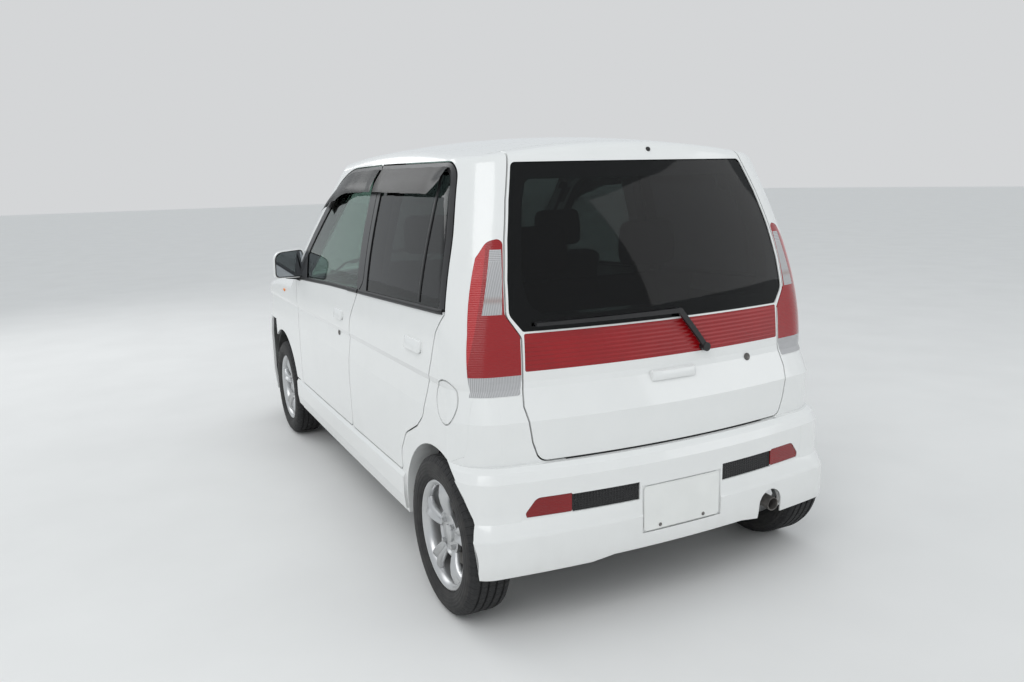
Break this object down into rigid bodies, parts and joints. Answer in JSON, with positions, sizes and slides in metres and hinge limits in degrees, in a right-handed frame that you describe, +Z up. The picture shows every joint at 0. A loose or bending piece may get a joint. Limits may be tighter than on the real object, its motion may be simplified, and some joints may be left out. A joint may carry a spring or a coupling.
{
  "type": "kei car",
  "caption": "Small tall five-door car with a glazed tailgate, hinged doors, lids and steered front wheels.",
  "frame": {"origin": "on the ground, at the middle of the overall length and width", "axes": "+X to the nose, +Y to the car's left, +Z up"},
  "size_m": [3.3907, 1.728, 1.5748],
  "materials": {
    "paint": "gloss",
    "black_trim": "satin",
    "cabin_plastic": "satin",
    "screen_glass": "polished",
    "dark_glass": "polished",
    "red_lens": "gloss",
    "clear_lens": "polished",
    "underbody_steel": "matte",
    "engine_metal": "matte",
    "chassis_steel": "matte",
    "exhaust_steel": "satin",
    "seat_fabric": "woven",
    "tyre": "matte",
    "alloy": "satin"
  },
  "bodies": {
    "body": {"side_frame_left": "paint", "side_frame_right": "paint", "roof_panel": "paint", "windscreen": "screen_glass", "tail_lamps": "red_lens", "headlamps": "clear_lens", "front_fenders": "paint", "cowl_panel": "black_trim", "front_bumper": "paint", "rear_bumper": "paint", "bumper_insert": "black_trim", "reflectors": "red_lens", "side_skirts": "paint", "underbody": "underbody_steel", "rear_wheelhouses": "underbody_steel", "engine_bay": "underbody_steel", "engine_block": "engine_metal", "grille": "black_trim", "suspension": "chassis_steel", "exhaust": "exhaust_steel", "dashboard": "cabin_plastic", "front_seats": "seat_fabric", "rear_seat": "seat_fabric"},
    "front_left_door": {"door_front_left": "paint", "window_front_left": "screen_glass", "mirror_left": "paint"},
    "front_right_door": {"door_front_right": "paint", "window_front_right": "screen_glass", "mirror_right": "paint"},
    "rear_left_door": {"door_rear_left": "paint", "window_rear_left": "dark_glass"},
    "rear_right_door": {"door_rear_right": "paint", "window_rear_right": "dark_glass"},
    "tailgate_body": {"tailgate": "paint", "tailgate_glass": "dark_glass", "tailgate_garnish": "red_lens", "rear_wiper": "black_trim"},
    "bonnet_body": {"bonnet": "paint"},
    "fuel_lid_body": {"fuel_lid": "paint"},
    "steering_wheel_body": {"steering_wheel": "cabin_plastic"},
    "knuckle_left_body": {"knuckle_left": "chassis_steel"},
    "knuckle_right_body": {"knuckle_right": "chassis_steel"},
    "wheel_fl": {"tyre_fl": "tyre", "rim_fl": "alloy"},
    "wheel_fr": {"tyre_fr": "tyre", "rim_fr": "alloy"},
    "wheel_rl": {"tyre_rl": "tyre", "rim_rl": "alloy"},
    "wheel_rr": {"tyre_rr": "tyre", "rim_rr": "alloy"}
  },
  "joints": [
    {"name": "front_left_door_hinge", "type": "hinge", "parent": "body", "child": "front_left_door", "pos_m": [0.567, 0.737, 0.7], "axis": [0, 0, -1], "range_deg": [0, 68]},
    {"name": "rear_left_door_hinge", "type": "hinge", "parent": "body", "child": "rear_left_door", "pos_m": [-0.361, 0.737, 0.7], "axis": [0, 0, -1], "range_deg": [0, 72]},
    {"name": "front_right_door_hinge", "type": "hinge", "parent": "body", "child": "front_right_door", "pos_m": [0.567, -0.737, 0.7], "axis": [0, 0, 1], "range_deg": [0, 68]},
    {"name": "rear_right_door_hinge", "type": "hinge", "parent": "body", "child": "rear_right_door", "pos_m": [-0.361, -0.737, 0.7], "axis": [0, 0, 1], "range_deg": [0, 72]},
    {"name": "tailgate_hinge", "type": "hinge", "parent": "body", "child": "tailgate_body", "pos_m": [-1.33, 0, 1.536], "axis": [0, 1, 0], "range_deg": [0, 84]},
    {"name": "bonnet_hinge", "type": "hinge", "parent": "body", "child": "bonnet_body", "pos_m": [0.83, 0, 0.958], "axis": [0, -1, 0], "range_deg": [0, 55]},
    {"name": "fuel_lid_hinge", "type": "hinge", "parent": "body", "child": "fuel_lid_body", "pos_m": [-1.3685, 0.7265, 0.74], "axis": [0, 0, -1], "range_deg": [0, 95]},
    {"name": "steering_wheel_turn", "type": "hinge", "parent": "body", "child": "steering_wheel_body", "pos_m": [0.3, -0.32, 0.85], "axis": [-0.891, 0, 0.454], "range_deg": [-495, 495]},
    {"name": "steer_left", "type": "hinge", "parent": "body", "child": "knuckle_left_body", "pos_m": [1.02, 0.54, 0.266], "axis": [0, 0, 1], "range_deg": [-33.5, 33.5]},
    {"name": "steer_right", "type": "hinge", "parent": "body", "child": "knuckle_right_body", "pos_m": [1.02, -0.54, 0.266], "axis": [0, 0, 1], "range_deg": [-33.5, 33.5]},
    {"name": "spin_fl", "type": "hinge", "parent": "knuckle_left_body", "child": "wheel_fl", "pos_m": [1.02, 0.6525, 0.266], "axis": [0, 1, 0], "continuous": true},
    {"name": "spin_fr", "type": "hinge", "parent": "knuckle_right_body", "child": "wheel_fr", "pos_m": [1.02, -0.6525, 0.266], "axis": [0, 1, 0], "continuous": true},
    {"name": "spin_rl", "type": "hinge", "parent": "body", "child": "wheel_rl", "pos_m": [-1.34, 0.6525, 0.266], "axis": [0, 1, 0], "continuous": true},
    {"name": "spin_rr", "type": "hinge", "parent": "body", "child": "wheel_rr", "pos_m": [-1.34, -0.6525, 0.266], "axis": [0, 1, 0], "continuous": true}
  ],
  "couplings": [
    {"joint": "steer_left", "follows": "steering_wheel_turn", "ratio": 0.066667},
    {"joint": "steer_right", "follows": "steering_wheel_turn", "ratio": 0.066667}
  ]
}
